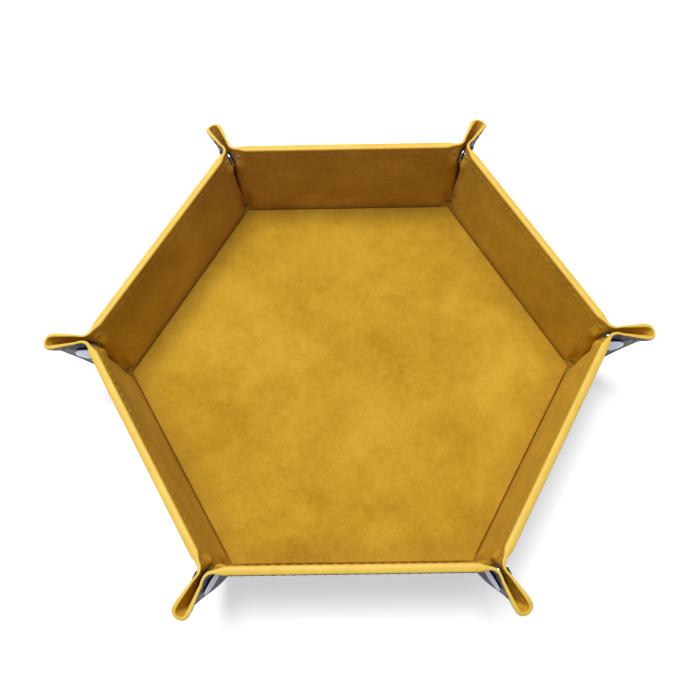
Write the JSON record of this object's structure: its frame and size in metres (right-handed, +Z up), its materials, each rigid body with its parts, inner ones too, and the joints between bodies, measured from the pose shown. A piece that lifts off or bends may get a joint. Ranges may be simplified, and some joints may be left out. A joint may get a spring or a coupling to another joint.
{
  "type": "folding dice tray",
  "caption": "Hexagonal leather dice tray with boards in its floor and walls. Snaps at the corners hold the walls up; opened, it folds flat.",
  "frame": {"origin": "centre of the underside, on the surface that the tray stands on", "axes": "+Z up; +X towards corner 1 of the hexagon, with the corners numbered anticlockwise from it, seen from above; -Y is the flat front wall"},
  "size_m": [0.2478, 0.216, 0.0414],
  "materials": {
    "lining_leather": "soft suede-like mustard yellow, matt",
    "cover_leather": "grained near-black with a violet cast, satin",
    "board": "grey-brown pressed board, matt",
    "snap_metal": "polished nickel"
  },
  "bodies": {
    "base": {"base_cover": "cover_leather", "base_board": "board", "base_lining": "lining_leather"},
    "wall_1": {"wall_1_cover": "cover_leather", "wall_1_board": "board", "wall_1_lining": "lining_leather"},
    "wall_2": {"wall_2_cover": "cover_leather", "wall_2_board": "board", "wall_2_lining": "lining_leather"},
    "wall_3": {"wall_3_cover": "cover_leather", "wall_3_board": "board", "wall_3_lining": "lining_leather"},
    "wall_4": {"wall_4_cover": "cover_leather", "wall_4_board": "board", "wall_4_lining": "lining_leather"},
    "wall_5": {"wall_5_cover": "cover_leather", "wall_5_board": "board", "wall_5_lining": "lining_leather"},
    "wall_6": {"wall_6_cover": "cover_leather", "wall_6_board": "board", "wall_6_lining": "lining_leather"},
    "ear_side_1_left": {"ear_1_left": "lining_leather", "snap_1_socket": "snap_metal"},
    "ear_tip_1_left": {"tip_1_left": "lining_leather"},
    "ear_side_1_right": {"ear_1_right": "lining_leather", "snap_1_stud": "snap_metal"},
    "ear_tip_1_right": {"tip_1_right": "lining_leather"},
    "ear_side_2_left": {"ear_2_left": "lining_leather", "snap_2_socket": "snap_metal"},
    "ear_tip_2_left": {"tip_2_left": "lining_leather"},
    "ear_side_2_right": {"ear_2_right": "lining_leather", "snap_2_stud": "snap_metal"},
    "ear_tip_2_right": {"tip_2_right": "lining_leather"},
    "ear_side_3_left": {"ear_3_left": "lining_leather", "snap_3_socket": "snap_metal"},
    "ear_tip_3_left": {"tip_3_left": "lining_leather"},
    "ear_side_3_right": {"ear_3_right": "lining_leather", "snap_3_stud": "snap_metal"},
    "ear_tip_3_right": {"tip_3_right": "lining_leather"},
    "ear_side_4_left": {"ear_4_left": "lining_leather", "snap_4_socket": "snap_metal"},
    "ear_tip_4_left": {"tip_4_left": "lining_leather"},
    "ear_side_4_right": {"ear_4_right": "lining_leather", "snap_4_stud": "snap_metal"},
    "ear_tip_4_right": {"tip_4_right": "lining_leather"},
    "ear_side_5_left": {"ear_5_left": "lining_leather", "snap_5_socket": "snap_metal"},
    "ear_tip_5_left": {"tip_5_left": "lining_leather"},
    "ear_side_5_right": {"ear_5_right": "lining_leather", "snap_5_stud": "snap_metal"},
    "ear_tip_5_right": {"tip_5_right": "lining_leather"},
    "ear_side_6_left": {"ear_6_left": "lining_leather", "snap_6_socket": "snap_metal"},
    "ear_tip_6_left": {"tip_6_left": "lining_leather"},
    "ear_side_6_right": {"ear_6_right": "lining_leather", "snap_6_stud": "snap_metal"},
    "ear_tip_6_right": {"tip_6_right": "lining_leather"}
  },
  "joints": [
    {"name": "wall_1_fold", "type": "hinge", "parent": "base", "child": "wall_1", "pos_m": [0.07397, 0.04271, 0.0008], "axis": [-0.5, 0.866, 0], "range_deg": [0, 80.5]},
    {"name": "wall_2_fold", "type": "hinge", "parent": "base", "child": "wall_2", "pos_m": [0, 0.08542, 0.0008], "axis": [-1, 0, 0], "range_deg": [0, 80.5]},
    {"name": "wall_3_fold", "type": "hinge", "parent": "base", "child": "wall_3", "pos_m": [-0.07397, 0.04271, 0.0008], "axis": [-0.5, -0.866, 0], "range_deg": [0, 80.5]},
    {"name": "wall_4_fold", "type": "hinge", "parent": "base", "child": "wall_4", "pos_m": [-0.07397, -0.04271, 0.0008], "axis": [0.5, -0.866, 0], "range_deg": [0, 80.5]},
    {"name": "wall_5_fold", "type": "hinge", "parent": "base", "child": "wall_5", "pos_m": [0, -0.08542, 0.0008], "axis": [1, 0, 0], "range_deg": [0, 80.5]},
    {"name": "wall_6_fold", "type": "hinge", "parent": "base", "child": "wall_6", "pos_m": [0.07397, -0.04271, 0.0008], "axis": [0.5, 0.866, 0], "range_deg": [0, 80.5]},
    {"name": "ear_1_left_fold", "type": "hinge", "parent": "wall_1", "child": "ear_side_1_left", "pos_m": [0.09863, 0, 0.0008], "axis": [-0.113, -0.0653, -0.9914], "range_deg": [0, 58.07]},
    {"name": "tip_1_left_fold", "type": "hinge", "parent": "ear_side_1_left", "child": "ear_tip_1_left", "pos_m": [0.09863, 0, 0.0008], "axis": [0.5516, 0.0525, 0.8324], "range_deg": [0, 85.55]},
    {"name": "ear_1_right_fold", "type": "hinge", "parent": "wall_6", "child": "ear_side_1_right", "pos_m": [0.09863, 0, 0.0008], "axis": [0.113, -0.0653, 0.9914], "range_deg": [0, 58.07]},
    {"name": "tip_1_right_fold", "type": "hinge", "parent": "ear_side_1_right", "child": "ear_tip_1_right", "pos_m": [0.09863, 0, 0.0008], "axis": [-0.5516, 0.0525, -0.8324], "range_deg": [0, 85.55]},
    {"name": "ear_2_left_fold", "type": "hinge", "parent": "wall_2", "child": "ear_side_2_left", "pos_m": [0.04932, 0.08542, 0.0008], "axis": [0, -0.1305, -0.9914], "range_deg": [0, 58.07]},
    {"name": "tip_2_left_fold", "type": "hinge", "parent": "ear_side_2_left", "child": "ear_tip_2_left", "pos_m": [0.04932, 0.08542, 0.0008], "axis": [0.2303, 0.504, 0.8324], "range_deg": [0, 85.55]},
    {"name": "ear_2_right_fold", "type": "hinge", "parent": "wall_1", "child": "ear_side_2_right", "pos_m": [0.04932, 0.08542, 0.0008], "axis": [0.113, 0.0653, 0.9914], "range_deg": [0, 58.07]},
    {"name": "tip_2_right_fold", "type": "hinge", "parent": "ear_side_2_right", "child": "ear_tip_2_right", "pos_m": [0.04932, 0.08542, 0.0008], "axis": [-0.3213, -0.4515, -0.8324], "range_deg": [0, 85.55]},
    {"name": "ear_3_left_fold", "type": "hinge", "parent": "wall_3", "child": "ear_side_3_left", "pos_m": [-0.04932, 0.08542, 0.0008], "axis": [0.113, -0.0653, -0.9914], "range_deg": [0, 58.07]},
    {"name": "tip_3_left_fold", "type": "hinge", "parent": "ear_side_3_left", "child": "ear_tip_3_left", "pos_m": [-0.04932, 0.08542, 0.0008], "axis": [-0.3213, 0.4515, 0.8324], "range_deg": [0, 85.55]},
    {"name": "ear_3_right_fold", "type": "hinge", "parent": "wall_2", "child": "ear_side_3_right", "pos_m": [-0.04932, 0.08542, 0.0008], "axis": [0, 0.1305, 0.9914], "range_deg": [0, 58.07]},
    {"name": "tip_3_right_fold", "type": "hinge", "parent": "ear_side_3_right", "child": "ear_tip_3_right", "pos_m": [-0.04932, 0.08542, 0.0008], "axis": [0.2303, -0.504, -0.8324], "range_deg": [0, 85.55]},
    {"name": "ear_4_left_fold", "type": "hinge", "parent": "wall_4", "child": "ear_side_4_left", "pos_m": [-0.09863, 0, 0.0008], "axis": [0.113, 0.0653, -0.9914], "range_deg": [0, 58.07]},
    {"name": "tip_4_left_fold", "type": "hinge", "parent": "ear_side_4_left", "child": "ear_tip_4_left", "pos_m": [-0.09863, 0, 0.0008], "axis": [-0.5516, -0.0525, 0.8324], "range_deg": [0, 85.55]},
    {"name": "ear_4_right_fold", "type": "hinge", "parent": "wall_3", "child": "ear_side_4_right", "pos_m": [-0.09863, 0, 0.0008], "axis": [-0.113, 0.0653, 0.9914], "range_deg": [0, 58.07]},
    {"name": "tip_4_right_fold", "type": "hinge", "parent": "ear_side_4_right", "child": "ear_tip_4_right", "pos_m": [-0.09863, 0, 0.0008], "axis": [0.5516, -0.0525, -0.8324], "range_deg": [0, 85.55]},
    {"name": "ear_5_left_fold", "type": "hinge", "parent": "wall_5", "child": "ear_side_5_left", "pos_m": [-0.04932, -0.08542, 0.0008], "axis": [0, 0.1305, -0.9914], "range_deg": [0, 58.07]},
    {"name": "tip_5_left_fold", "type": "hinge", "parent": "ear_side_5_left", "child": "ear_tip_5_left", "pos_m": [-0.04932, -0.08542, 0.0008], "axis": [-0.2303, -0.504, 0.8324], "range_deg": [0, 85.55]},
    {"name": "ear_5_right_fold", "type": "hinge", "parent": "wall_4", "child": "ear_side_5_right", "pos_m": [-0.04932, -0.08542, 0.0008], "axis": [-0.113, -0.0653, 0.9914], "range_deg": [0, 58.07]},
    {"name": "tip_5_right_fold", "type": "hinge", "parent": "ear_side_5_right", "child": "ear_tip_5_right", "pos_m": [-0.04932, -0.08542, 0.0008], "axis": [0.3213, 0.4515, -0.8324], "range_deg": [0, 85.55]},
    {"name": "ear_6_left_fold", "type": "hinge", "parent": "wall_6", "child": "ear_side_6_left", "pos_m": [0.04932, -0.08542, 0.0008], "axis": [-0.113, 0.0653, -0.9914], "range_deg": [0, 58.07]},
    {"name": "tip_6_left_fold", "type": "hinge", "parent": "ear_side_6_left", "child": "ear_tip_6_left", "pos_m": [0.04932, -0.08542, 0.0008], "axis": [0.3213, -0.4515, 0.8324], "range_deg": [0, 85.55]},
    {"name": "ear_6_right_fold", "type": "hinge", "parent": "wall_5", "child": "ear_side_6_right", "pos_m": [0.04932, -0.08542, 0.0008], "axis": [0, -0.1305, 0.9914], "range_deg": [0, 58.07]},
    {"name": "tip_6_right_fold", "type": "hinge", "parent": "ear_side_6_right", "child": "ear_tip_6_right", "pos_m": [0.04932, -0.08542, 0.0008], "axis": [-0.2303, 0.504, -0.8324], "range_deg": [0, 85.55]}
  ],
  "couplings": [
    {"joint": "wall_2_fold", "follows": "wall_1_fold", "ratio": 1},
    {"joint": "wall_3_fold", "follows": "wall_1_fold", "ratio": 1},
    {"joint": "wall_4_fold", "follows": "wall_1_fold", "ratio": 1},
    {"joint": "wall_5_fold", "follows": "wall_1_fold", "ratio": 1},
    {"joint": "wall_6_fold", "follows": "wall_1_fold", "ratio": 1},
    {"joint": "ear_1_left_fold", "follows": "wall_1_fold", "ratio": 0.72121},
    {"joint": "tip_1_left_fold", "follows": "wall_1_fold", "ratio": 1.0627},
    {"joint": "ear_1_right_fold", "follows": "wall_1_fold", "ratio": 0.72121},
    {"joint": "tip_1_right_fold", "follows": "wall_1_fold", "ratio": 1.0627},
    {"joint": "ear_2_left_fold", "follows": "wall_1_fold", "ratio": 0.72121},
    {"joint": "tip_2_left_fold", "follows": "wall_1_fold", "ratio": 1.0627},
    {"joint": "ear_2_right_fold", "follows": "wall_1_fold", "ratio": 0.72121},
    {"joint": "tip_2_right_fold", "follows": "wall_1_fold", "ratio": 1.0627},
    {"joint": "ear_3_left_fold", "follows": "wall_1_fold", "ratio": 0.72121},
    {"joint": "tip_3_left_fold", "follows": "wall_1_fold", "ratio": 1.0627},
    {"joint": "ear_3_right_fold", "follows": "wall_1_fold", "ratio": 0.72121},
    {"joint": "tip_3_right_fold", "follows": "wall_1_fold", "ratio": 1.0627},
    {"joint": "ear_4_left_fold", "follows": "wall_1_fold", "ratio": 0.72121},
    {"joint": "tip_4_left_fold", "follows": "wall_1_fold", "ratio": 1.0627},
    {"joint": "ear_4_right_fold", "follows": "wall_1_fold", "ratio": 0.72121},
    {"joint": "tip_4_right_fold", "follows": "wall_1_fold", "ratio": 1.0627},
    {"joint": "ear_5_left_fold", "follows": "wall_1_fold", "ratio": 0.72121},
    {"joint": "tip_5_left_fold", "follows": "wall_1_fold", "ratio": 1.0627},
    {"joint": "ear_5_right_fold", "follows": "wall_1_fold", "ratio": 0.72121},
    {"joint": "tip_5_right_fold", "follows": "wall_1_fold", "ratio": 1.0627},
    {"joint": "ear_6_left_fold", "follows": "wall_1_fold", "ratio": 0.72121},
    {"joint": "tip_6_left_fold", "follows": "wall_1_fold", "ratio": 1.0627},
    {"joint": "ear_6_right_fold", "follows": "wall_1_fold", "ratio": 0.72121},
    {"joint": "tip_6_right_fold", "follows": "wall_1_fold", "ratio": 1.0627}
  ]
}
